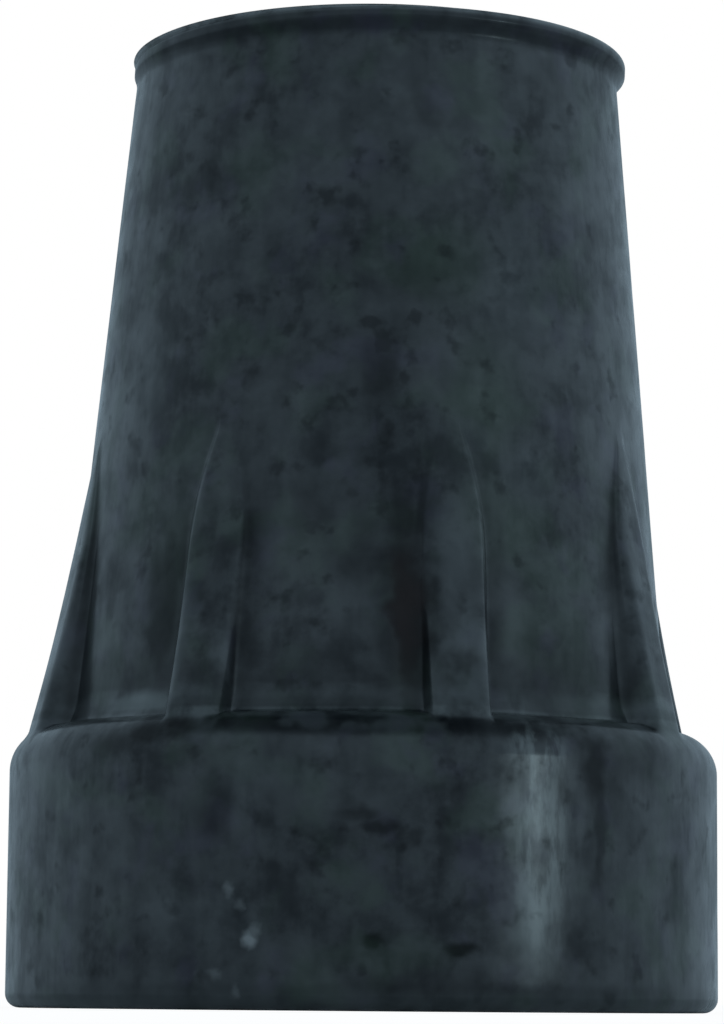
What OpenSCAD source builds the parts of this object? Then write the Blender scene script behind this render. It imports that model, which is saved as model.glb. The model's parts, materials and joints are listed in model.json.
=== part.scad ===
// Rubber cane tip, moulded in one piece: a tapered shaft with a thin lip at its mouth and pointed
// ribs that flare out onto the shoulder of a wide round base. The cane pushes into the blind socket.
// The middle of the tread is the origin, and the mouth faces up.

/* [Socket] */
// Diameter of the cane that pushes into the socket
cane_d = 19; // [16:0.5:25]
// Thickness of the rubber between the end of the cane and the tread
floor_t = 14; // [8:0.5:15]
// Width of the chamfer that leads the cane into the mouth
lead_in = 1; // [0.4:0.1:1.5]

/* [Shaft] */
// Height of the shaft above the shoulder
shaft_h = 39; // [30:0.5:60]
// Thickness of the rubber around the cane at the mouth
mouth_wall = 4.3; // [3:0.1:6]
// How much further out the shaft's side is at its foot than at its mouth
shaft_spread = 3.4; // [1:0.1:5]
// How far the foot of the shaft flares out onto the shoulder
foot_flare = 0.3; // [0.2:0.05:0.6]
// Radius of the hollow curve of that flare
foot_fillet_r = 4.5; // [2:0.5:6]

/* [Lip] */
// Height of the lip around the mouth
lip_h = 1.2; // [1:0.1:3]
// How far the lip stands out from the top of the shaft
lip_out = 0.45; // [0.2:0.05:0.6]
// Radius of the lip's upper edge
lip_round_r = 0.3; // [0.2:0.1:0.6]

/* [Base] */
// Height of the base, from the tread to the top of its shoulder
base_h = 15.5; // [10:0.5:24]
// Width of the shoulder, from the foot of the shaft to the side of the base
shoulder_w = 2.8; // [2:0.1:6]
// Radius of the shoulder's outer edge
shoulder_r = 2.3; // [0.8:0.1:4]
// Radius of the edge around the tread
tread_edge_r = 0.8; // [0.2:0.1:1.5]

/* [Ribs] */
// Number of ribs around the foot of the shaft
rib_count = 8; // [4:1:12]
// Width of a rib
rib_w = 3.3; // [2:0.1:5]
// Height of a rib above the shoulder, to its point
rib_h = 16.5; // [12:0.5:26]
// Height of the pointed top of a rib
rib_point_h = 8; // [4:0.5:11]
// How far the toe of a rib stops short of the side of the base
rib_toe_inset = 0.95; // [0.8:0.05:1.8]
// Radius of the hollow curve along which a rib flares out
rib_flare_r = 160; // [120:5:300]
// How far above its point a rib's curve leaves the shaft
rib_lead = 1; // [0.5:0.1:2]

/* [Tread] */
// Number of ring grooves in the tread
groove_count = 3; // [2:1:4]
// Width of a groove at the tread
groove_w = 1.6; // [0.8:0.1:2.4]
// Depth of a groove
groove_depth = 1.2; // [0.5:0.1:3]
// How much a groove narrows towards its bottom, on each side
groove_draft = 0.15; // [0:0.05:0.3]
// Radius of the plain disc in the middle of the tread
hub_r = 3; // [2:0.1:5]
// Width of the plain land outside the last groove
rim_land_w = 5.4; // [2:0.1:6]

/* [Hidden] */
$fn = 96;
// Sides of the wide flare curves and of the small edge rounds, as full circles
flare_sides = 720;
edge_sides = 48;
// How far a cutter runs past the face that it cuts, and the lip into the shaft
over = 1;
// Narrowest flat ledge left between the flare and the shoulder's round
least_ledge = 0.1;
cane_r = cane_d / 2;
tip_h = base_h + shaft_h;
shaft_top_r = cane_r + mouth_wall;
shaft_foot_r = shaft_top_r + shaft_spread;
lip_r = shaft_top_r + lip_out;
base_r = shaft_foot_r + shoulder_w;
shoulder_round_r = min(shoulder_r, shoulder_w - foot_flare - least_ledge);
groove_pitch = (base_r - rim_land_w - hub_r - groove_w) / (groove_count - 1);

// Radius of the shaft's side at a height
function shaft_r(z) = shaft_foot_r - shaft_spread * (z - base_h) / shaft_h;

// Outside corner at the origin, reaching up and to the right, beyond the arc that rounds it
module corner_round(r) {
    difference() {
        translate([-r, -r])
            square(r + over);
        translate([-r, -r])
            circle(r, $fn = edge_sides);
    }
}

// Section of the base, with its shoulder and its tread edge rounded
module base_section() {
    difference() {
        square([base_r, base_h]);
        translate([base_r, base_h])
            corner_round(shoulder_round_r);
        translate([base_r, 0])
            mirror([0, 1])
                corner_round(tread_edge_r);
    }
}

// Section of the tapered shaft, carried down into the base
module shaft_section() {
    polygon([
        [0, base_h / 2],
        [shaft_foot_r, base_h / 2],
        [shaft_foot_r, base_h],
        [shaft_top_r, tip_h],
        [0, tip_h]
    ]);
}

// Section of the hollow flare at the shaft's foot. Its arc leaves the shaft's side without a corner,
// crosses the top of the shoulder where the flare ends, and runs a little way on inside the base.
module foot_flare_section() {
    foot = [shaft_foot_r, base_h];
    up_wall = [-shaft_spread, shaft_h] / norm([shaft_spread, shaft_h]);
    off_wall = [up_wall[1], -up_wall[0]];
    off = foot_flare * off_wall[0];
    rise = sqrt(2 * foot_fillet_r * off - off * off) + foot_flare * up_wall[0];
    centre = foot + foot_fillet_r * off_wall + rise * up_wall;
    low = [shaft_foot_r + foot_flare, base_h] - centre;
    low_angle = atan2(low[1], low[0]) + 4;
    inside = centre + (foot_fillet_r + over) * [cos(low_angle), sin(low_angle)];
    difference() {
        polygon([centre - foot_fillet_r * off_wall, centre, inside, [0, base_h / 2]]);
        translate(centre)
            circle(foot_fillet_r, $fn = flare_sides);
    }
}

// Section of the lip, sloping outwards at 45 degrees below and rounded above
module lip_section() {
    lip_foot = tip_h - lip_h;
    slope_h = lip_r - shaft_r(lip_foot);
    difference() {
        polygon([
            [0, lip_foot - over],
            [shaft_r(lip_foot) - over, lip_foot - over],
            [lip_r, lip_foot + slope_h],
            [lip_r, tip_h],
            [0, tip_h]
        ]);
        translate([lip_r, tip_h])
            corner_round(lip_round_r);
    }
}

// The turned body, before the socket and the grooves are cut
module turned_body() {
    rotate_extrude() {
        base_section();
        shaft_section();
        foot_flare_section();
        lip_section();
    }
}

// Solid of revolution whose side is the ribs' hollow curve: one arc from the shaft, just above the
// ribs' points, down to their toes on the shoulder
module flare_body() {
    start = [shaft_r(base_h + rib_h + rib_lead), base_h + rib_h + rib_lead];
    toe = [base_r - rib_toe_inset, base_h];
    middle = (start + toe) / 2;
    chord = norm(toe - start);
    run = (toe - start) / chord;
    reach = sqrt(pow(rib_flare_r, 2) - pow(chord / 2, 2));
    low_z = base_h - shoulder_round_r;
    rotate_extrude()
        difference() {
            translate([0, low_z])
                square([base_r, start[1] - low_z]);
            translate([middle[0] - reach * run[1], middle[1] + reach * run[0]])
                circle(rib_flare_r, $fn = flare_sides);
        }
}

// Outline of a rib as seen from outside: parallel sides under a pointed arch of two arcs
module rib_outline() {
    spring_z = base_h + rib_h - rib_point_h;
    arch_r = (pow(rib_w / 2, 2) + pow(rib_point_h, 2)) / rib_w;
    translate([-rib_w / 2, 0])
        square([rib_w, spring_z]);
    intersection() {
        translate([-rib_w / 2, 0])
            square([rib_w, base_h + rib_h]);
        translate([arch_r - rib_w / 2, spring_z])
            circle(arch_r, $fn = flare_sides);
        translate([rib_w / 2 - arch_r, spring_z])
            circle(arch_r, $fn = flare_sides);
    }
}

// The ribs: each outline carried straight outwards from inside the wall, and trimmed to the flare
module ribs() {
    intersection() {
        flare_body();
        for (i = [0 : rib_count - 1])
            rotate([0, 0, i * 360 / rib_count])
                translate([cane_r + mouth_wall / 2, 0, 0])
                    rotate([90, 0, 90])
                        linear_extrude(base_r)
                            rib_outline();
    }
}

// The blind socket for the cane, with its lead-in
module socket() {
    translate([0, 0, floor_t])
        cylinder(r = cane_r, h = tip_h - floor_t + over);
    translate([0, 0, tip_h - lead_in])
        cylinder(r1 = cane_r, r2 = cane_r + lead_in + over, h = lead_in + over);
}

// The ring grooves of the tread, each narrower at its bottom
module tread_grooves() {
    rotate_extrude()
        for (i = [0 : groove_count - 1])
            translate([hub_r + i * groove_pitch, 0])
                polygon([
                    [0, -over],
                    [groove_w, -over],
                    [groove_w, 0],
                    [groove_w - groove_draft, groove_depth],
                    [groove_draft, groove_depth],
                    [0, 0]
                ]);
}

module cane_tip() {
    color([0.18, 0.21, 0.23])
        difference() {
            union() {
                turned_body();
                ribs();
            }
            socket();
            tread_grooves();
        }
}

cane_tip();
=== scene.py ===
import json
import math

import bpy
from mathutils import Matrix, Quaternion, Vector


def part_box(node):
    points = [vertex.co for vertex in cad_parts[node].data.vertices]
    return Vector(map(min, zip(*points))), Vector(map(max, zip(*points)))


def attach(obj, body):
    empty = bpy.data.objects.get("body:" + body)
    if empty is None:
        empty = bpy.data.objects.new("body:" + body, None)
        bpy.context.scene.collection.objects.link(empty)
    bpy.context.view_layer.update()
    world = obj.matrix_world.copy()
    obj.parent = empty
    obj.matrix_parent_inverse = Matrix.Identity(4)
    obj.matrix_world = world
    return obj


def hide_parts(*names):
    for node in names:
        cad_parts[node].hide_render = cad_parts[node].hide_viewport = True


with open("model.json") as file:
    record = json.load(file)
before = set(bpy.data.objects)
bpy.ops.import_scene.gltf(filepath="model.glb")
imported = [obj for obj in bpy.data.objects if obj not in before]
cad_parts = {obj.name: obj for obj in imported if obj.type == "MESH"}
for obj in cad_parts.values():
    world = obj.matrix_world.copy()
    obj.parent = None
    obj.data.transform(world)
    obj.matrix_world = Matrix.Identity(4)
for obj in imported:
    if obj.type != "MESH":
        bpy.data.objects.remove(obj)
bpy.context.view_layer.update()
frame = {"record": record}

# The camera stands just above the floor, close to the tip, and looks a little up, as in the photograph.
# Directions around the tip are counted from it, to the right, and so are the marks on the rubber.
MM = 0.001
camera_azimuth = math.radians(-15.9)
camera_distance = 206.7
camera_height = 0.5
camera_aside = -0.2
camera_pitch = 0.1338
camera_roll = 0.0085
focal_px = 3636.0
frame_long_px = 1024
camera_data = bpy.data.cameras.new("camera")
camera_data.lens = focal_px / frame_long_px * camera_data.sensor_width
camera_data.clip_start = 0.01
camera = bpy.data.objects.new("camera", camera_data)
towards = Vector((math.sin(camera_azimuth), -math.cos(camera_azimuth), 0))
rightwards = Vector((math.cos(camera_azimuth), math.sin(camera_azimuth), 0))
stand = towards * camera_distance + rightwards * camera_aside
camera.location = (stand + Vector((0, 0, camera_height))) * MM
looking = -towards * math.cos(camera_pitch) + Vector((0, 0, math.sin(camera_pitch)))
camera.rotation_mode = "QUATERNION"
camera.rotation_quaternion = looking.to_track_quat("-Z", "Y") @ Quaternion((0, 0, 1), camera_roll)
bpy.context.scene.collection.objects.link(camera)
bpy.context.scene.camera = camera
bpy.context.scene.view_settings.view_transform = "Standard"

# The tip's section. The real tip is one compression moulding in black rubber, turned in form but for
# its ribs, so a single half-section describes it: out along the grooved tread, up the side and over
# the shoulder, up the tapered shaft, over the thin lip, and down into the blind socket for the cane.
base_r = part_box("cane_tip")[1].x / MM
tip_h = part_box("cane_tip")[1].z / MM
socket = next(mount for mount in frame["record"]["mounts"] if mount["name"] == "socket")
cane_r = socket["dims"]["r_mm"]
lead_in = 1.0
floor_t = tip_h - lead_in - socket["dims"]["length_mm"]
shaft_top_r = cane_r + 4.3
shaft_foot_r = shaft_top_r + 3.4
base_h = 15.5
shoulder_r = 2.3
foot_fillet_r = 4.5
foot_flare = 0.3
tread_edge_r = 0.8
lip_h = 1.2
lip_out = 0.45
lip_round_r = 0.3
lip_hollow_r = 1.5
lip_hollow_h = 0.9
lip_hollow_rise = 0.35
lip_corner_in = 0.04
lip_corner_up = 0.06
plain_shaft_from = 34.0
lip_r = shaft_top_r + lip_out
shaft_slope = (shaft_foot_r - shaft_top_r) / (tip_h - base_h)
groove_count = 3
groove_w = 1.6
groove_depth = 1.2
groove_draft = 0.15
hub_r = 3.0
rim_land_w = 5.4
groove_pitch = (base_r - rim_land_w - hub_r - groove_w) / (groove_count - 1)
small_edge_r = 0.2


def shaft_r(z):
    """Radius of the shaft's plain side at a height, in mm."""
    return shaft_foot_r - shaft_slope * (z - base_h)


def straight(line, r, z, steps):
    """Carries the section on to (r, z) in equal steps."""
    r0, z0 = line[-1]
    line += [(r0 + (r - r0) * i / steps, z0 + (z - z0) * i / steps) for i in range(1, steps + 1)]


def bend(line, centre, radius, start, end, steps):
    """Carries the section on round a centre, from one angle to another in degrees."""
    for i in range(1, steps + 1):
        a = math.radians(start + (end - start) * i / steps)
        line.append((centre[0] + radius * math.cos(a), centre[1] + radius * math.sin(a)))


def draw_tread(line):
    """The tread, from its middle to its edge, with the ring grooves."""
    e = small_edge_r
    for i in range(groove_count):
        r = hub_r + i * groove_pitch
        straight(line, r - e, 0, 6)
        bend(line, (r - e, e), e, -90, 0, 3)
        straight(line, r + groove_draft, groove_depth - e, 2)
        bend(line, (r + groove_draft + e, groove_depth - e), e, 180, 90, 3)
        straight(line, r + groove_w - groove_draft - e, groove_depth, 2)
        bend(line, (r + groove_w - groove_draft - e, groove_depth - e), e, 90, 0, 3)
        straight(line, r + groove_w, e, 2)
        bend(line, (r + groove_w + e, e), e, 180, 270, 3)
    straight(line, base_r - tread_edge_r, 0, 7)
    bend(line, (base_r - tread_edge_r, tread_edge_r), tread_edge_r, -90, 0, 7)


def draw_outside(line):
    """The base's side, its shoulder, the hollow flare at the shaft's foot, and the shaft."""
    lean = math.atan(shaft_slope)
    off_wall = Vector((math.cos(lean), math.sin(lean)))
    up_wall = Vector((-math.sin(lean), math.cos(lean)))
    off = foot_flare * off_wall.x
    rise = math.sqrt(2 * foot_fillet_r * off - off**2) + foot_flare * up_wall.x
    fillet_centre = Vector((shaft_foot_r, base_h)) + foot_fillet_r * off_wall + rise * up_wall
    low = Vector((shaft_foot_r + foot_flare, base_h)) - fillet_centre
    low_angle = 360 + math.degrees(math.atan2(low.y, low.x))
    straight(line, base_r, base_h - shoulder_r, 17)
    bend(line, (base_r - shoulder_r, base_h - shoulder_r), shoulder_r, 0, 90, 16)
    straight(line, shaft_foot_r + foot_flare, base_h, 1)
    bend(line, fillet_centre, foot_fillet_r, low_angle, 180 + math.degrees(lean), 10)
    straight(line, shaft_r(plain_shaft_from), plain_shaft_from, 40)
    hollow_foot = tip_h - lip_h + lip_hollow_rise - lip_hollow_h
    straight(line, shaft_r(hollow_foot), hollow_foot, 16)


def draw_mouth(line):
    """The lip around the mouth, the lead-in, and the socket down to its floor."""
    e = small_edge_r
    r, z = line[-1]
    lean = math.atan(shaft_slope)
    hollow_centre = (r + lip_hollow_r * math.cos(lean), z + lip_hollow_r * math.sin(lean))
    end = math.degrees(math.acos((lip_r - lip_corner_in - hollow_centre[0]) / lip_hollow_r))
    bend(line, hollow_centre, lip_hollow_r, 180 + math.degrees(lean), end, 7)
    straight(line, lip_r, line[-1][1] + lip_corner_up, 1)
    straight(line, lip_r, tip_h - lip_round_r, 2)
    bend(line, (lip_r - lip_round_r, tip_h - lip_round_r), lip_round_r, 0, 90, 7)
    straight(line, cane_r + lead_in + e, tip_h, 5)
    bend(line, (cane_r + lead_in + e, tip_h - e), e, 90, 135, 2)
    straight(line, cane_r + e * 0.3, tip_h - lead_in, 3)
    straight(line, cane_r, tip_h - lead_in - e, 1)
    straight(line, cane_r, floor_t + e, 18)
    bend(line, (cane_r - e, floor_t + e), e, 0, -90, 4)
    straight(line, 0, floor_t, 6)


section_line = [(0.0, 0.0)]
draw_tread(section_line)
draw_outside(section_line)
draw_mouth(section_line)
section_mesh = bpy.data.meshes.new("tip_section")
section_mesh.from_pydata(
    [(r * MM, 0, z * MM) for r, z in section_line],
    [(i, i + 1) for i in range(len(section_line) - 1)],
    [],
)
tip = bpy.data.objects.new("cane_tip_moulding", section_mesh)
bpy.context.scene.collection.objects.link(tip)

# The ribs. Eight of them stand around the foot of the shaft, moulded with it: each has parallel sides
# under a pointed top, and its face sweeps outwards along one hollow arc to a toe on the shoulder.
# A node tree turns the section and lifts each rib's face, its rounded edges and its root out of it.
rib_count = 8
rib_w = 3.3
rib_h = 16.5
rib_point_h = 8.0
rib_toe_inset = 0.95
rib_flare_r = 160.0
rib_lead = 1.0
crown_edge_r = 0.6
root_r = 0.45
side_draft = 0.06
narrowest_half = 0.45
toe_blend = 0.35
edge_most_of_half = 0.6
# how far past a rib's root, in columns, the painted shade at its root reaches
root_shade_reach = 3.0
columns_face, columns_edge, columns_root, columns_panel = 5, 3, 3, 8
half_columns = columns_face + columns_edge + 1 + columns_root + columns_panel
shaft_lean = 0.012
lip_slip = 0.18
lip_sag = 0.35
inside_wall = 1.5
ripple_depth = 0.05
ripple_size = 7.0
ripple_middle = 0.45
ripple_seed = 3.7


def flare_centre():
    """Centre of the arc that runs from the shaft above a rib's point down to its toe, in mm."""
    z = base_h + rib_h + rib_lead
    start = Vector((shaft_r(z), z))
    toe = Vector((base_r - rib_toe_inset, base_h))
    run = (toe - start).normalized()
    reach = math.sqrt(rib_flare_r**2 - ((toe - start).length / 2) ** 2)
    return (start + toe) / 2 + reach * Vector((-run.y, run.x))


def maths(tree, operation, *values, clamp=False):
    """One Math node on numbers or sockets; gives its output."""
    node = tree.nodes.new("ShaderNodeMath")
    node.operation = operation
    node.use_clamp = clamp
    for socket_in, value in zip(node.inputs, values):
        if isinstance(value, bpy.types.NodeSocket):
            tree.links.new(value, socket_in)
        else:
            socket_in.default_value = value
    return node.outputs[0]


def turning_tree():
    """The node tree that turns the section about the axis and raises the ribs on it."""
    tree = bpy.data.node_groups.new("turned_ribbed_moulding", "GeometryNodeTree")
    face = tree.interface

    def given(name, kind):
        face.new_socket(name=name, in_out="INPUT", socket_type=kind)

    given("Section", "NodeSocketGeometry")
    given("Ribs", "NodeSocketInt")
    given("Half Columns", "NodeSocketInt")
    for name in (
        "Half Width", "Spring Height", "Arch Radius", "Narrowest Half", "Flare Centre Out",
        "Flare Centre Up", "Flare Radius", "Foot Radius", "Foot Height", "Shaft Slope", "Crown Edge",
        "Root Radius", "Side Draft", "Toe Blend", "Inside Radius", "Lowest Toe", "Lip Foot",
        "Lip Out", "Lip Zone", "Lip Sag", "Camera Side", "Ripple Depth", "Ripple Size", "Widest",
    ):
        given(name, "NodeSocketFloat")
    given("Lip Slip", "NodeSocketVector")
    given("Shaft Lean", "NodeSocketVector")
    given("Ripple Seed", "NodeSocketFloat")
    given("Rubber", "NodeSocketMaterial")
    face.new_socket(name="Moulding", in_out="OUTPUT", socket_type="NodeSocketGeometry")
    sizes = tree.nodes.new("NodeGroupInput").outputs
    result = tree.nodes.new("NodeGroupOutput")

    def m(operation, *values, clamp=False):
        return maths(tree, operation, *values, clamp=clamp)

    def node(kind, **links):
        made = tree.nodes.new(kind)
        for name, value in links.items():
            tree.links.new(value, made.inputs[name.replace("_", " ")])
        return made

    # A flat grid: one row for each point of the section, one column for each direction
    count = node("GeometryNodeAttributeDomainSize", Geometry=sizes["Section"])
    rows = count.outputs["Point Count"]
    per_rib = m("MULTIPLY", sizes["Half Columns"], 2.0)
    columns = m("ADD", m("MULTIPLY", per_rib, sizes["Ribs"]), 1.0)
    grid = node("GeometryNodeMeshGrid", Vertices_X=rows, Vertices_Y=columns)
    index = tree.nodes.new("GeometryNodeInputIndex").outputs[0]
    row = m("FLOOR", m("DIVIDE", m("ADD", index, 0.5), columns))
    column = m("SUBTRACT", index, m("MULTIPLY", row, columns))

    # Radius and height of the row, from the section
    place = tree.nodes.new("GeometryNodeSampleIndex")
    place.data_type = "FLOAT_VECTOR"
    here = tree.nodes.new("GeometryNodeInputPosition").outputs[0]
    tree.links.new(sizes["Section"], place.inputs["Geometry"])
    tree.links.new(here, place.inputs["Value"])
    tree.links.new(row, place.inputs["Index"])
    parts = node("ShaderNodeSeparateXYZ", Vector=place.outputs["Value"])
    r, z = parts.outputs["X"], parts.outputs["Z"]
    plain = m("SUBTRACT", sizes["Foot Radius"],
              m("MULTIPLY", sizes["Shaft Slope"], m("SUBTRACT", z, sizes["Foot Height"])))

    # Half a rib's width under its pointed top, and how far its face stands out at this height
    rise = m("MAXIMUM", m("SUBTRACT", z, sizes["Spring Height"]), 0.0)
    arch = sizes["Arch Radius"]
    arc_square = m("SUBTRACT", m("MULTIPLY", arch, arch), m("MULTIPLY", rise, rise))
    arc = m("SQRT", m("MAXIMUM", arc_square, 0.0))
    true_half = m("ADD", m("SUBTRACT", arc, arch), sizes["Half Width"])
    half = m("MAXIMUM", true_half, sizes["Narrowest Half"])
    fade = m("DIVIDE", true_half, sizes["Narrowest Half"], clamp=True)
    drop = m("SUBTRACT", z, sizes["Flare Centre Up"])
    sweep = sizes["Flare Radius"]
    inward = m("SQRT", m("SUBTRACT", m("MULTIPLY", sweep, sweep), m("MULTIPLY", drop, drop)))
    flare = m("SUBTRACT", sizes["Flare Centre Out"], inward)
    out = m("MULTIPLY", m("MAXIMUM", m("SUBTRACT", flare, plain), 0.0), fade)

    # Where the column stands: over the face, round the edge, down the side, round the root, or beyond
    shifted = m("ADD", column, sizes["Half Columns"])
    rib_number = m("FLOOR", m("DIVIDE", m("ADD", shifted, 0.5), per_rib))
    on_this_rib = m("SUBTRACT", shifted, m("MULTIPLY", rib_number, per_rib))
    local = m("SUBTRACT", on_this_rib, sizes["Half Columns"])
    side = m("SIGN", local)
    n = m("ABSOLUTE", local)

    def stage_share(first, steps):
        return m("DIVIDE", m("SUBTRACT", n, float(first)), float(steps), clamp=True)

    root_start = columns_face + columns_edge + 1
    on_face = stage_share(0, columns_face)
    edge_turn = m("MULTIPLY", stage_share(columns_face, columns_edge), math.pi / 2)
    down_side = stage_share(columns_face + columns_edge, 1)
    root_turn = m("MULTIPLY", stage_share(root_start, columns_root), math.pi / 2)
    beyond = stage_share(root_start + columns_root, columns_panel)
    edge, root = sizes["Crown Edge"], sizes["Root Radius"]
    edge_in = m("MINIMUM", edge, m("MULTIPLY", half, edge_most_of_half))
    from_middle = m("MULTIPLY", on_face, m("SUBTRACT", half, edge_in))
    from_middle = m("ADD", from_middle, m("MULTIPLY", edge_in, m("SINE", edge_turn)))
    from_middle = m("ADD", from_middle, m("MULTIPLY", down_side, sizes["Side Draft"]))
    from_middle = m("ADD", from_middle, m("MULTIPLY", root, m("SUBTRACT", 1.0, m("COSINE", root_turn))))
    edge_up = m("MINIMUM", edge, m("MULTIPLY", out, 0.5))
    root_up = m("MINIMUM", root, m("MULTIPLY", out, 0.5))
    up = m("SUBTRACT", out, m("MULTIPLY", edge_up, m("SUBTRACT", 1.0, m("COSINE", edge_turn))))
    wall = m("SUBTRACT", m("SUBTRACT", out, edge_up), root_up)
    up = m("SUBTRACT", up, m("MULTIPLY", wall, down_side))
    up = m("SUBTRACT", up, m("MULTIPLY", root_up, m("SINE", root_turn)))

    # The rib lifts only the outside above its toe, and its toe runs softly into the shoulder
    outer = m("GREATER_THAN", r, sizes["Inside Radius"])
    outside = m("MULTIPLY", outer, m("GREATER_THAN", z, sizes["Lowest Toe"]))
    lifted = m("MULTIPLY", m("ADD", plain, up), outside)
    apart = m("ABSOLUTE", m("SUBTRACT", lifted, r))
    near = m("MAXIMUM", m("SUBTRACT", sizes["Toe Blend"], apart), 0.0)
    soft = m("DIVIDE", m("MULTIPLY", near, near), m("MULTIPLY", sizes["Toe Blend"], 4.0))
    share = m("DIVIDE", up, m("MAXIMUM", out, 1e-6), clamp=True)
    off_shaft = m("DIVIDE", m("SUBTRACT", r, plain), foot_flare * MM, clamp=True)
    soft = m("MULTIPLY", m("MULTIPLY", soft, share), m("MULTIPLY", off_shaft, outside))
    radius = m("ADD", m("MAXIMUM", r, lifted), soft)

    # A rib's sides are parallel, so its columns keep their distance from its middle
    wide = m("MAXIMUM", radius, sizes["Inside Radius"])
    turn = m("ARCSINE", m("DIVIDE", from_middle, wide))
    pitch = m("DIVIDE", 2 * math.pi, sizes["Ribs"])
    half_pitch = m("MULTIPLY", pitch, 0.5)
    turn = m("ADD", m("MULTIPLY", turn, m("SUBTRACT", 1.0, beyond)), m("MULTIPLY", half_pitch, beyond))
    azimuth = m("ADD", m("MULTIPLY", rib_number, pitch), m("MULTIPLY", side, turn))

    # The skin ripples where the rubber flowed
    along_x, along_y = m("COSINE", azimuth), m("SINE", azimuth)
    still_x, still_y = m("MULTIPLY", along_x, radius), m("MULTIPLY", along_y, radius)
    noise_at = node("ShaderNodeCombineXYZ", X=still_x, Y=still_y, Z=z)
    ripple = tree.nodes.new("ShaderNodeTexNoise")
    ripple.noise_dimensions = "4D"
    ripple.inputs["Detail"].default_value = 2.0
    tree.links.new(noise_at.outputs[0], ripple.inputs["Vector"])
    tree.links.new(m("DIVIDE", 1.0, sizes["Ripple Size"]), ripple.inputs["Scale"])
    tree.links.new(sizes["Ripple Seed"], ripple.inputs["W"])
    outer_skin = m("MULTIPLY", outer, m("GREATER_THAN", z, 0.5 * MM))
    deep_here = m("MULTIPLY", sizes["Ripple Depth"], outer_skin)
    swell = m("MULTIPLY", m("SUBTRACT", ripple.outputs[0], ripple_middle), deep_here)
    rippled = m("MINIMUM", m("ADD", radius, swell), sizes["Widest"])

    # The outer mould sat a little out of line with the core: the shaft leans and its lip stands aside
    stands_out = m("DIVIDE", m("SUBTRACT", r, plain), sizes["Lip Out"], clamp=True)
    on_lip = m("MULTIPLY", stands_out, m("GREATER_THAN", z, sizes["Lip Foot"]))
    outer_share = m("DIVIDE", m("SUBTRACT", r, sizes["Inside Radius"]), inside_wall * MM, clamp=True)
    leaning = m("MULTIPLY", m("MAXIMUM", m("SUBTRACT", z, sizes["Foot Height"]), 0.0), outer_share)
    up_lip = m("DIVIDE", m("SUBTRACT", z, sizes["Lip Foot"]), sizes["Lip Zone"], clamp=True)
    off_side = m("SUBTRACT", 1.0, m("COSINE", m("SUBTRACT", azimuth, sizes["Camera Side"])))
    sag = m("MULTIPLY", m("MULTIPLY", off_side, 0.5), sizes["Lip Sag"])
    sag = m("MULTIPLY", sag, m("MULTIPLY", up_lip, outer_share))
    final_x, final_y = m("MULTIPLY", along_x, rippled), m("MULTIPLY", along_y, rippled)
    at = node("ShaderNodeCombineXYZ", X=final_x, Y=final_y, Z=m("SUBTRACT", z, sag))

    def pushed(place_out, push, amount):
        step = tree.nodes.new("ShaderNodeVectorMath")
        step.operation = "MULTIPLY_ADD"
        tree.links.new(push, step.inputs[0])
        tree.links.new(amount, step.inputs[1])
        tree.links.new(place_out, step.inputs[2])
        return step.outputs[0]

    moved = pushed(at.outputs[0], sizes["Lip Slip"], on_lip)
    moved = pushed(moved, sizes["Shaft Lean"], leaning)
    placed = node("GeometryNodeSetPosition", Geometry=grid.outputs["Mesh"], Position=moved)

    # Marks for the finish: the ribs' rubbed edges, and their roots, where painted shade darkens the rubber
    def stored(geometry, name, middle, reach):
        store = node("GeometryNodeStoreNamedAttribute", Geometry=geometry)
        store.data_type = "FLOAT"
        store.domain = "POINT"
        store.inputs["Name"].default_value = name
        away = m("DIVIDE", m("ABSOLUTE", m("SUBTRACT", n, middle)), reach)
        proud = m("MULTIPLY", m("DIVIDE", out, sizes["Crown Edge"], clamp=True), outside)
        tree.links.new(m("MULTIPLY", m("SUBTRACT", 1.0, away, clamp=True), proud), store.inputs["Value"])
        return store.outputs[0]

    marked = stored(placed.outputs[0], "rib_edge", columns_face + columns_edge / 2, columns_edge / 2 + 1)
    marked = stored(marked, "rib_root", root_start + columns_root / 2, columns_root / 2 + root_shade_reach)
    closed = node("GeometryNodeMergeByDistance", Geometry=marked)
    closed.inputs["Distance"].default_value = 1e-6
    turned = node("GeometryNodeFlipFaces", Mesh=closed.outputs[0])
    smooth = node("GeometryNodeSetShadeSmooth", Geometry=turned.outputs[0])
    real = node("GeometryNodeRealizeInstances", Geometry=smooth.outputs[0])
    finished = node("GeometryNodeSetMaterial", Geometry=real.outputs[0], Material=sizes["Rubber"])
    tree.links.new(finished.outputs[0], result.inputs["Moulding"])
    return tree


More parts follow.
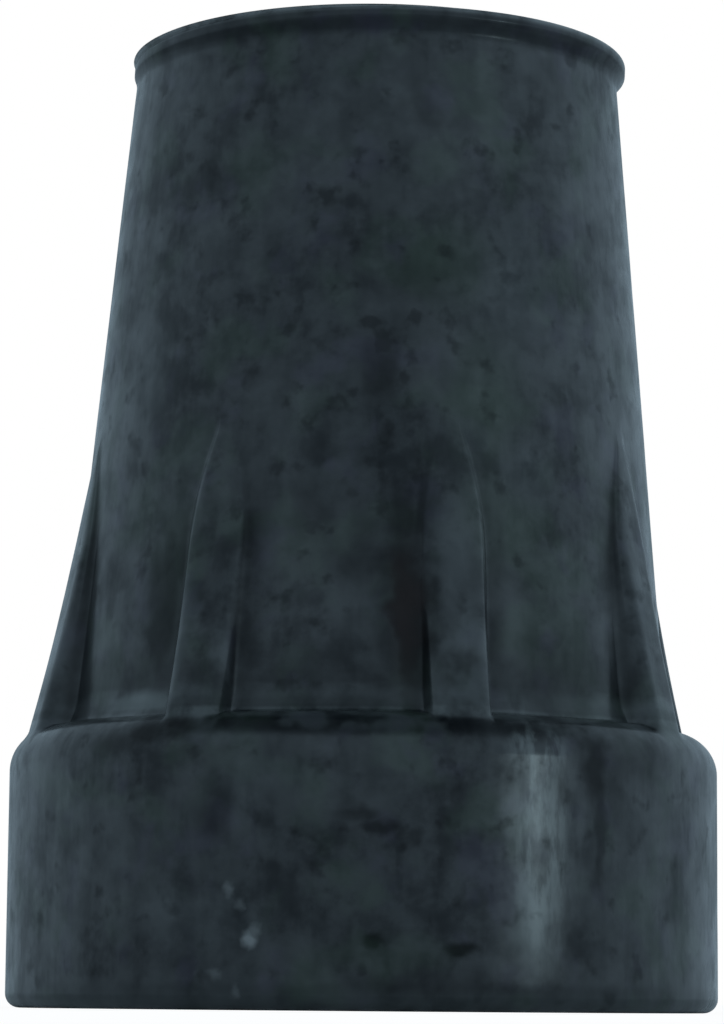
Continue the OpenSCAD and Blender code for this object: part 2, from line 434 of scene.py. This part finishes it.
rubber = bpy.data.materials.new("moulded_rubber")
rubber.use_nodes = True
arch_r = ((rib_w / 2) ** 2 + rib_point_h**2) / rib_w
centre = flare_centre()
values = {
    "Ribs": rib_count,
    "Half Columns": half_columns,
    "Half Width": rib_w / 2 * MM,
    "Spring Height": (base_h + rib_h - rib_point_h) * MM,
    "Arch Radius": arch_r * MM,
    "Narrowest Half": narrowest_half * MM,
    "Flare Centre Out": centre.x * MM,
    "Flare Centre Up": centre.y * MM,
    "Flare Radius": rib_flare_r * MM,
    "Foot Radius": shaft_foot_r * MM,
    "Foot Height": base_h * MM,
    "Shaft Slope": shaft_slope,
    "Crown Edge": crown_edge_r * MM,
    "Root Radius": root_r * MM,
    "Side Draft": side_draft * MM,
    "Toe Blend": toe_blend * MM,
    "Inside Radius": (shaft_top_r - inside_wall) * MM,
    "Lowest Toe": (base_h - shoulder_r) * MM,
    "Lip Foot": (tip_h - 2 * lip_h) * MM,
    "Lip Out": lip_out * MM,
    "Lip Zone": 2 * lip_h * MM,
    "Lip Sag": lip_sag * MM,
    "Camera Side": camera_azimuth,
    "Ripple Depth": ripple_depth * MM,
    "Ripple Size": ripple_size * MM,
    "Lip Slip": rightwards * lip_slip * MM,
    "Shaft Lean": rightwards * shaft_lean,
    "Widest": base_r * MM,
    "Ripple Seed": ripple_seed,
    "Rubber": rubber,
}
turning = tip.modifiers.new("turning", "NODES")
turning.node_group = turning_tree()
for item in turning.node_group.interface.items_tree:
    if item.in_out == "INPUT" and item.name in values:
        turning[item.identifier] = values[item.name]
evaluated = tip.evaluated_get(bpy.context.evaluated_depsgraph_get())
moulding_mesh = bpy.data.meshes.new_from_object(evaluated)
tip.modifiers.remove(turning)
tip.data = moulding_mesh
moulding_mesh.name = "cane_tip_moulding"
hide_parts("cane_tip")
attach(tip, "root")

# The finish of the rubber. Carbon black gives it a dark slate colour, and it has bloomed and been
# handled, so it is mottled in soft patches, streaked where it flowed up the mould, and rubbed pale on
# its edges. The tread is scuffed grey by the ground.
nodes = rubber.node_tree
bsdf = nodes.nodes["Principled BSDF"]
slate = (0.0105, 0.0125, 0.0140, 1)
deep = (0.0040, 0.0055, 0.0070, 1)
pale = (0.0230, 0.0270, 0.0290, 1)
bloom = (0.0190, 0.0310, 0.0205, 1)
plum = (0.0200, 0.0170, 0.0300, 1)
# a dark reddish colour, laid on one patch at a rib's root a little right of the middle
dark_red = (0.0190, 0.0075, 0.0070, 1)
# gleam is a pale grey used for painted highlights and painted light, and for the real wear on the shoulder
gleam = (0.0900, 0.1000, 0.0980, 1)
dust = (0.1600, 0.1650, 0.1650, 1)
# dark colour of the dirt and of the painted shade
soot_and_shade = (0.0012, 0.0015, 0.0018, 1)
rubber_shine = 0.14
film_roughness = 0.17
least_film = 0.24
least_roughness = 0.22
relief_strength = 0.6


def give(socket_in, value):
    """Links a socket of the rubber to another one, or sets it to a plain value."""
    if isinstance(value, bpy.types.NodeSocket):
        nodes.links.new(value, socket_in)
    else:
        socket_in.default_value = value


def shader_node(kind, **links):
    """A node of the rubber, with values or sockets given to its inputs by name."""
    made = nodes.nodes.new(kind)
    for name, value in links.items():
        give(made.inputs[name.replace("_", " ")], value)
    return made


def vector(operation, *values):
    """One Vector Math node on vectors or sockets of the rubber; gives the node."""
    made = nodes.nodes.new("ShaderNodeVectorMath")
    made.operation = operation
    for socket_in, value in zip(made.inputs, values):
        give(socket_in, value)
    return made


def calc(operation, *values, clamp=False):
    """One Math node on numbers or sockets of the rubber; gives its output."""
    return maths(nodes, operation, *values, clamp=clamp)


def times(value, factor):
    """A product."""
    return calc("MULTIPLY", value, factor)


def plus(*values):
    """A sum of two values or more."""
    total = values[0]
    for value in values[1:]:
        total = calc("ADD", total, value)
    return total


def less(value, mask, share):
    """A value lowered by a share of itself where a mask is 1."""
    return times(value, calc("SUBTRACT", 1.0, times(mask, share)))


def strongest(masks):
    """The strongest of several masks at each place."""
    winner = masks[0]
    for mask in masks[1:]:
        winner = calc("MAXIMUM", winner, mask)
    return winner


def between(value, low, high, top=1.0):
    """0 at low and top at high, with a soft step between them. High may be the smaller number."""
    step = shader_node("ShaderNodeMapRange", Value=value, From_Min=low, From_Max=high, To_Max=top)
    step.interpolation_type = "SMOOTHSTEP"
    return step.outputs["Result"]


def over(under, colour, share):
    """A colour laid over another by a share of 0 to 1."""
    mix = nodes.nodes.new("ShaderNodeMix")
    mix.data_type = "RGBA"
    mix.clamp_factor = True
    for number, value in ((0, share), (6, under), (7, colour)):
        give(mix.inputs[number], value)
    return mix.outputs[2]


# Places in the rubber: as they are, drawn out upwards for the flow, and shaken for the marks' edges
position = nodes.nodes.new("ShaderNodeTexCoord").outputs["Object"]
place_parts = shader_node("ShaderNodeSeparateXYZ", Vector=position)
height = place_parts.outputs["Z"]
flat_place = shader_node("ShaderNodeCombineXYZ", X=place_parts.outputs["X"], Y=place_parts.outputs["Y"])
far_out = vector("LENGTH", flat_place.outputs[0]).outputs["Value"]
streaked = vector("MULTIPLY", position, (1, 1, 0.16)).outputs[0]
drawn_out = vector("MULTIPLY", position, (1, 1, 0.30)).outputs[0]


def shaken(size, detail, reach):
    """The place pushed about by noise of a size, as far as a reach, both in mm."""
    noise = shader_node("ShaderNodeTexNoise", Vector=position, Scale=1 / (size * MM), Detail=detail)
    both_ways = (2 * reach * MM,) * 3
    pushed_on = vector("MULTIPLY_ADD", noise.outputs["Color"], both_ways, position).outputs[0]
    return vector("SUBTRACT", pushed_on, (reach * MM,) * 3).outputs[0]


def on_side(place):
    """A place on the tip's side as its azimuth from the camera, in radians, and its height."""
    to_right = vector("DOT_PRODUCT", place, rightwards).outputs["Value"]
    to_camera = vector("DOT_PRODUCT", place, towards).outputs["Value"]
    up = shader_node("ShaderNodeSeparateXYZ", Vector=place).outputs["Z"]
    return shader_node("ShaderNodeCombineXYZ", X=calc("ARCTAN2", to_right, to_camera), Y=up).outputs[0]


frayed_side = on_side(shaken(1.9, 2.0, 1.0))
ragged_side = on_side(shaken(0.5, 1.0, 0.25))


def patch(azimuth, z, width, tall, soft=0.5, strength=1.0, at=frayed_side):
    """Mask of an oval patch on the side, at an azimuth in degrees and a height in mm."""
    up_shoulder = min(max(z - base_h + shoulder_r, 0), shoulder_r)
    r = base_r - shoulder_r + math.sqrt(shoulder_r**2 - up_shoulder**2) if z < base_h else shaft_r(z)
    across, up = 2 * r / width, 2 / (tall * MM)
    middle = (-math.radians(azimuth) * across, -z * MM * up, 0)
    put = vector("MULTIPLY_ADD", at, (across, up, 0), middle)
    away = vector("LENGTH", put.outputs[0]).outputs["Value"]
    return between(away, 1 + soft, 1 - soft, top=strength)


def patch_group(rows, at=frayed_side):
    """The strongest of several patches: azimuth, height, width, tallness, softness and strength of each."""
    return strongest([patch(*row, at=at) for row in rows])


def ring(start, *heights):
    """Mask of a ring that fades in and out again between four heights above a start, in mm."""
    foot, full_from, full_to, top = [(start + z) * MM for z in heights]
    return times(between(height, foot, full_from), between(height, top, full_to))


def cloud(at, size, seed, detail=3.0, rough=0.55, bend_by=0.0):
    """Noise of a size in mm. Without a seed it is the plain noise of its place, which is quicker."""
    made = shader_node("ShaderNodeTexNoise", Vector=at, Scale=1 / (size * MM), Detail=detail)
    made.inputs["Roughness"].default_value = rough
    made.inputs["Distortion"].default_value = bend_by
    if seed is not None:
        made.noise_dimensions = "4D"
        made.inputs["W"].default_value = seed
    return made.outputs["Fac"]


patches = cloud(position, 6.0, 1.3, detail=4.0, rough=0.6, bend_by=0.4)
blotches = cloud(position, 2.0, 5.1, detail=4.0, rough=0.6)
flow = cloud(streaked, 1.2, 8.2)
fine_flow = cloud(drawn_out, 0.75, 3.1, rough=0.6)
bloomed = cloud(position, 4.5, 11.7, rough=0.5)
plums = cloud(position, 3.0, 31.2, rough=0.5)
broken = between(blotches, 0.38, 0.62)
lightness = plus(
    between(patches, 0.38, 0.60, top=0.44),
    times(broken, 0.38),
    between(flow, 0.40, 0.62, top=0.18),
)

# Dark marks: mottles, pits and smears on the rubber; painted shade at the ribs' roots, in a line at the
# shaft's foot, in an arc on the shoulder and beside the ribs; and a patchy darker band just above the
# shaft's foot
mottled_zone = patch(-2.5, 32.5, 7.5, 9.0)
spots = plus(cloud(position, 1.4, 21.4, rough=0.5), times(mottled_zone, 0.08))
mottles = between(spots, 0.56, 0.72)
rib_edge = nodes.nodes.new("ShaderNodeAttribute")
rib_edge.attribute_name = "rib_edge"
rib_root = nodes.nodes.new("ShaderNodeAttribute")
rib_root.attribute_name = "rib_root"
above_foot = between(height, (base_h + 0.3) * MM, (base_h + 1.2) * MM)
# painted shade darkening the rubber at the ribs' roots
root_zone = times(between(rib_root.outputs["Fac"], 0.12, 0.80), above_foot)
shaded_roots = times(root_zone, plus(0.42, between(bloomed, 0.42, 0.58, top=0.38)))
# a patchy darker band just above the shaft's foot, kept off the ribs' edges
dark_band_above_foot = times(ring(base_h, 1.4, 1.7, 1.9, 4.5), between(patches, 0.36, 0.54))
dark_band_above_foot = less(dark_band_above_foot, rib_edge.outputs["Fac"], 1.0)
# painted shade: a dark line in the crease at the shaft's foot
foot_shade_line = ring(base_h, 0.2, 0.4, 0.6, 1.0)
# dark smears on the rubber, and painted shade beside the ribs, on the shoulder and right of the base's pale
# streak
smears_and_shade = patch_group([
    (8.0, 20.3, 2.2, 8.4),
    (6.0, 22.8, 2.6, 3.4, 0.6, 0.60),
    (6.4, 18.8, 2.8, 4.6, 0.6, 0.65),
    (-9.5, 26.2, 2.2, 3.4, 0.7, 0.45),
    (24.0, 17.3, 5.6, 2.2, 0.8, 0.45),
    (28.0, 14.5, 7.0, 1.1, 0.7, 0.65),
    (-40.0, 21.0, 2.0, 9.0, 0.7, 0.75),
    (-1.0, 23.8, 2.6, 3.4, 0.7, 0.50),
    (9.6, 38.5, 3.4, 2.6, 0.8, 0.35),
    (12.5, 48.6, 1.6, 2.2, 0.8, 0.45),
    (46.0, 51.0, 3.5, 1.8, 0.8, 0.30),
    (37.0, 17.4, 5.5, 4.2, 0.8, 0.55),
    (42.0, 11.4, 1.6, 3.0, 0.8, 0.35),
    (29.4, 12.6, 1.4, 2.2, 0.7, 0.35),
    (46.0, 13.6, 6.5, 3.0, 0.8, 0.42),
    (7.0, 26.0, 2.0, 3.2, 0.6, 0.8),
    (2.5, 33.6, 1.6, 3.2, 0.7, 0.6),
    (-0.2, 10.2, 2.0, 0.9, 0.7, 0.7),
    (2.2, 9.4, 2.0, 1.1, 0.7, 0.85),
    (7.2, 8.8, 1.0, 0.9, 0.7, 0.6),
    (-22.6, 9.6, 1.5, 1.8, 0.8, 0.6),
    (17.0, 17.9, 3.2, 1.0, 0.6, 0.5),
    (38.5, 9.8, 0.9, 8.0, 0.6, 0.6),
    (38.0, 12.6, 1.8, 3.6, 0.6, 0.9),
    (10.0, 1.3, 8.0, 1.4, 0.7, 0.4),
])
# painted shadow in an arc on the shoulder, under the shaft's foot
shoulder_shadow_arc = patch_group([
    (38.2, 14.0, 2.6, 1.3, 0.6, 0.65),
    (34.0, 14.7, 3.2, 0.8, 0.6, 0.60),
    (-41.0, 14.00, 3.4, 1.3, 0.7, 0.75),
    (-36.0, 14.30, 2.6, 1.0, 0.6, 0.95),
    (-31.5, 14.55, 3.4, 1.1, 0.5, 0.90),
    (-25.0, 14.75, 3.8, 0.9, 0.6, 0.70),
    (-15.0, 14.75, 5.0, 0.9, 0.6, 0.45),
    (-3.0, 14.65, 7.0, 1.0, 0.6, 0.55),
    (12.0, 14.65, 6.0, 1.0, 0.6, 0.55),
], at=ragged_side)
pits = strongest([patch(1.6, 3.60, 1.05, 0.8, 0.6, at=ragged_side), patch(14.0, 3.1, 1.5, 0.7, 0.6)])
# real dirt and painted shade together, darkening the colour and thinning the film
dirt_and_shade = strongest([
    times(strongest([smears_and_shade, shoulder_shadow_arc]), 0.85),
    times(shaded_roots, 0.85),
    times(dark_band_above_foot, 0.35),
    times(foot_shade_line, 0.30),
    times(mottles, 0.50),
    times(pits, 0.95),
])
unmarked = calc("SUBTRACT", 1.0, dirt_and_shade)

# Pale marks: pale and bloomed patches, the specks on the base, wear on its shoulder and paler mottling on
# its lip's edge; and painted highlights down the base's streak and along the shaft's foot, with painted
# light in the crease under it
specks = patch_group([
    (-20.2, 6.18, 0.50, 0.60, 0.8, 0.45),
    (-18.3, 5.40, 0.45, 0.60, 0.8, 0.30),
    (-16.9, 3.62, 0.66, 0.80, 0.7),
    (-16.2, 4.05, 0.50, 0.80, 0.8, 0.50),
    (-16.4, 4.90, 0.70, 0.90, 0.9, 0.16),
    (-22.4, 1.85, 0.60, 0.50, 0.8, 0.30),
    (-18.9, 0.95, 0.45, 0.70, 0.8, 0.28),
], at=ragged_side)
pale_panel = patch(-13.0, 21.6, 5.0, 8.6)
pale_patches = patch_group([
    (15.5, 24.5, 1.8, 5.0, 0.6),
    (-33.0, 19.0, 1.2, 6.0, 0.6),
    (-52.0, 34.0, 3.8, 5.6, 0.8),
    (32.0, 39.0, 3.8, 6.0, 0.8),
    (33.0, 28.6, 3.2, 3.4, 0.8),
    (-26.0, 4.6, 7.0, 3.0, 0.8, 0.7),
    (-22.0, 14.2, 3.5, 1.2, 0.8, 0.7),
    (58.5, 21.0, 2.4, 7.0, 0.8, 0.7),
    (-16.0, 11.8, 3.6, 3.0, 0.8, 0.8),
])
pale_greens = patch_group([
    (17.5, 40.0, 4.6, 4.4, 0.7),
    (24.0, 32.5, 4.2, 7.0, 0.7),
    (24.0, 26.0, 4.0, 5.0, 0.7),
    (-38.0, 24.0, 3.5, 8.0, 0.7),
])
smooth_band = patch(28.4, 9.2, 5.0, 12.6, 0.25)
# painted highlights down the base's pale streak and over the top of its shoulder, where the low lamps
# reflect
streak_highlight = times(patch(27.6, 9.4, 2.6, 11.4, 0.6), between(fine_flow, 0.40, 0.60))
streak_top_highlight = times(patch(27.0, 13.7, 3.4, 1.5), between(fine_flow, 0.36, 0.56))
# painted highlight along the shaft's foot, strongest at its left end
foot_highlight_ends = patch_group([(-43, 16.1, 5.5, 2.0, 0.6, 0.8), (52, 16.1, 7.0, 2.0, 0.6, 0.1)])
foot_highlight = times(ring(base_h, 0.1, 0.5, 1.0, 1.6), plus(0.12, foot_highlight_ends))
# painted light lifting the crease between the shaft's foot and the shoulder
crease_light = times(ring(base_h, -0.50, -0.10, 0.10, 0.35), plus(0.10, times(broken, 0.35)))
shoulder_top = times(
    between(height, (base_h - 1.6) * MM, (base_h - 0.7) * MM),
    between(far_out, (shaft_foot_r + 0.2) * MM, (shaft_foot_r + 0.8) * MM),
)
shoulder_wear = times(shoulder_top, between(plums, 0.50, 0.62))
lip_edge = times(
    between(height, (tip_h - 0.55) * MM, (tip_h - 0.15) * MM),
    between(far_out, 13.0 * MM, 13.8 * MM),
)
underside = between(height, 0.12 * MM, 0.0)

colour = over(deep, slate, between(lightness, 0.1, 0.6))
for laid, share in (
    (pale, between(blotches, 0.50, 0.78, top=0.6)),
    (bloom, between(bloomed, 0.50, 0.64, top=0.6)),
    (plum, between(plums, 0.54, 0.68, top=0.6)),
    (bloom, times(pale_greens, 0.6)),
    # dirt and painted shade
    (soot_and_shade, dirt_and_shade),
    # a dark reddish patch at a rib's root, a little right of the middle
    (dark_red, patch(7.4, 20.8, 1.4, 5.6, 0.8, 0.48)),
    # painted highlight down the base's streak
    (gleam, times(streak_highlight, 0.60)),
    # painted highlight low in the base's streak
    (gleam, patch(25.4, 4.8, 2.2, 3.8, 0.7, 0.45)),
    # painted highlight along the shaft's foot
    (gleam, foot_highlight),
    (gleam, times(shoulder_wear, 0.30)),
    # painted light in the crease under the shaft's foot
    (gleam, crease_light),
    # painted highlight at the top of the base's streak
    (gleam, times(streak_top_highlight, 0.50)),
    # painted light lifting the bottom rim out of the floor's shadow
    (gleam, between(height, 1.3 * MM, 0.3 * MM, top=0.19)),
    (pale, times(pale_patches, 0.6)),
    (bloom, patch(2.5, 2.9, 7.0, 1.6, 0.6, 0.5)),
    (dust, specks),
    (pale, times(times(rib_edge.outputs["Fac"], broken), 0.15)),
    (dust, times(lip_edge, between(blotches, 0.26, 0.54))),
    (dust, times(underside, between(blotches, 0.40, 0.62))),
):
    colour = over(colour, laid, share)
nodes.links.new(colour, bsdf.inputs["Base Color"])

# Shine: the rubber is dull, and a thin waxy film on it is thicker where it is pale and gone under the dirt
# and the painted shade
roughness = plus(times(patches, 0.22), times(blotches, 0.22), least_roughness)
roughness = calc("ADD", roughness, times(underside, 0.25), clamp=True)
nodes.links.new(roughness, bsdf.inputs["Roughness"])
bsdf.inputs["Specular IOR Level"].default_value = rubber_shine
dull_side = patch(52.0, 7.5, 14.0, 17.0, 0.6)
dim_zone = patch(1.0, 31.0, 5.6, 15.0)
lip_zone = between(height, (tip_h - 2.0) * MM, (tip_h - 1.3) * MM)
lip_hollow = ring(tip_h, -1.9, -1.5, -1.1, -0.85)
film = plus(
    least_film,
    times(lightness, 0.74),
    times(smooth_band, calc("SUBTRACT", times(fine_flow, 1.4), 0.5)),
    times(calc("MAXIMUM", pale_panel, pale_patches), 0.22),
)
for mask, share in ((dull_side, 0.16), (dim_zone, 0.22), (lip_zone, 0.34), (lip_hollow, 0.38)):
    film = less(film, mask, share)
film = calc("MULTIPLY", film, unmarked, clamp=True)
nodes.links.new(film, bsdf.inputs["Coat Weight"])
bsdf.inputs["Coat Roughness"].default_value = film_roughness

# Relief: low swells, dimples and flow ridges, and scuffs on the tread, as shares of a millimetre
flow_ridges = cloud(streaked, 1.2, None, detail=2.0)
dimples = cloud(position, 2.0, None, detail=2.0, rough=0.6)
swells = cloud(position, 6.0, None, detail=2.0, rough=0.6)
scuffs = times(underside, dimples)
relief = plus(times(flow_ridges, 0.07), times(dimples, 0.12), times(swells, 0.24), times(scuffs, 0.10))
bump = shader_node("ShaderNodeBump", Height=relief, Strength=relief_strength, Distance=MM)
nodes.links.new(bump.outputs[0], bsdf.inputs["Normal"])

# The floor is a white card that takes the tip's shadow. The room around it is a plain studio, cool in
# tint, a little brighter on the right, dimmer behind the tip and dark overhead. The camera sees it white.
floor_reach = 6.0
card_white = (0.88, 0.88, 0.88, 1)
card_roughness = 0.9
card_glow = 1.1
glow_share = 0.85
floor_mesh = bpy.data.meshes.new("floor")
corners = [(x * floor_reach, y * floor_reach, 0) for x, y in ((-1, -1), (1, -1), (1, 1), (-1, 1))]
floor_mesh.from_pydata(corners, [], [(0, 1, 2, 3)])
floor = bpy.data.objects.new("floor", floor_mesh)
bpy.context.scene.collection.objects.link(floor)
card = bpy.data.materials.new("white_card")
card.use_nodes = True
card.cycles.emission_sampling = "NONE"
card_bsdf = card.node_tree.nodes["Principled BSDF"]
card_bsdf.inputs["Base Color"].default_value = card_white
card_bsdf.inputs["Roughness"].default_value = card_roughness
seen = card.node_tree.nodes.new("ShaderNodeLightPath")
glow = card.node_tree.nodes.new("ShaderNodeEmission")
glow.inputs["Strength"].default_value = card_glow
seen_straight = (seen.outputs["Is Camera Ray"], seen.outputs["Is Transmission Ray"])
lit_by_eye = maths(card.node_tree, "MAXIMUM", *seen_straight)
card_mix = card.node_tree.nodes.new("ShaderNodeMixShader")
glow_here = maths(card.node_tree, "MULTIPLY", lit_by_eye, glow_share)
card.node_tree.links.new(glow_here, card_mix.inputs[0])
card.node_tree.links.new(card_bsdf.outputs[0], card_mix.inputs[1])
card.node_tree.links.new(glow.outputs[0], card_mix.inputs[2])
card.node_tree.links.new(card_mix.outputs[0], card.node_tree.nodes["Material Output"].inputs["Surface"])
floor_mesh.materials.append(card)

world = bpy.data.worlds.new("studio")
bpy.context.scene.world = world
world.use_nodes = True
sky = world.node_tree
around = sky.nodes.new("ShaderNodeTexCoord").outputs["Generated"]
way = sky.nodes.new("ShaderNodeSeparateXYZ")
sky.links.new(around, way.inputs[0])
aside = sky.nodes.new("ShaderNodeVectorMath")
aside.operation = "DOT_PRODUCT"
sky.links.new(around, aside.inputs[0])
aside.inputs[1].default_value = rightwards
behind = sky.nodes.new("ShaderNodeVectorMath")
behind.operation = "DOT_PRODUCT"
sky.links.new(around, behind.inputs[0])
behind.inputs[1].default_value = -towards


def ramp(value, low, high, at_low, at_high):
    """A soft step of the room's brightness."""
    step = sky.nodes.new("ShaderNodeMapRange")
    step.interpolation_type = "SMOOTHSTEP"
    sky.links.new(value, step.inputs["Value"])
    for name, number in (("From Min", low), ("From Max", high), ("To Min", at_low), ("To Max", at_high)):
        step.inputs[name].default_value = number
    return step.outputs["Result"]


room_tint = (0.625, 0.850, 1.02, 1)
lamp_tint = (0.68, 0.92, 1.0)
left_level = 0.755
right_level = 0.89
behind_share = 0.68
top_level = 0.09
level = ramp(aside.outputs["Value"], 0.0, 0.75, left_level, right_level)
level = maths(sky, "MULTIPLY", level, ramp(behind.outputs["Value"], 0.1, 0.9, 1.0, behind_share))
level = maths(sky, "MULTIPLY", level, ramp(way.outputs["Z"], 0.66, 0.93, 1.0, top_level))
path = sky.nodes.new("ShaderNodeLightPath")
room = sky.nodes["Background"]
room.inputs["Color"].default_value = room_tint
sky.links.new(level, room.inputs["Strength"])
plain_white = sky.nodes.new("ShaderNodeBackground")
plain_white.inputs["Color"].default_value = (1, 1, 1, 1)
chooser = sky.nodes.new("ShaderNodeMixShader")
direct = maths(sky, "MAXIMUM", path.outputs["Is Camera Ray"], path.outputs["Is Transmission Ray"])
sky.links.new(direct, chooser.inputs[0])
sky.links.new(room.outputs[0], chooser.inputs[1])
sky.links.new(plain_white.outputs[0], chooser.inputs[2])
sky.links.new(chooser.outputs[0], sky.nodes["World Output"].inputs["Surface"])


# Two lamps stand low on the right: a broad strip and a narrow one inside it. Together they draw the pale
# streak down the base, bright along its middle and soft at its edges.
def lamp(name, azimuth, elevation, distance, width, tall, watts):
    """An area lamp that faces the tip, placed by its azimuth and elevation from the camera, in metres."""
    data = bpy.data.lights.new(name, "AREA")
    data.shape = "RECTANGLE"
    data.size, data.size_y = width, tall
    data.energy = watts
    data.color = lamp_tint
    placed = bpy.data.objects.new(name, data)
    a, e = math.radians(azimuth), math.radians(elevation)
    out = (towards * math.cos(a) + rightwards * math.sin(a)) * math.cos(e) + Vector((0, 0, math.sin(e)))
    placed.location = Vector((0, 0, 20 * MM)) + out * distance
    placed.rotation_euler = (-out).to_track_quat("-Z", "Y").to_euler()
    bpy.context.scene.collection.objects.link(placed)


lamp("low_strip", 53.5, 2.7, 0.5, 0.20, 0.056, 0.058)
lamp("low_strip_core", 55, 2.7, 0.45, 0.022, 0.056, 0.016)
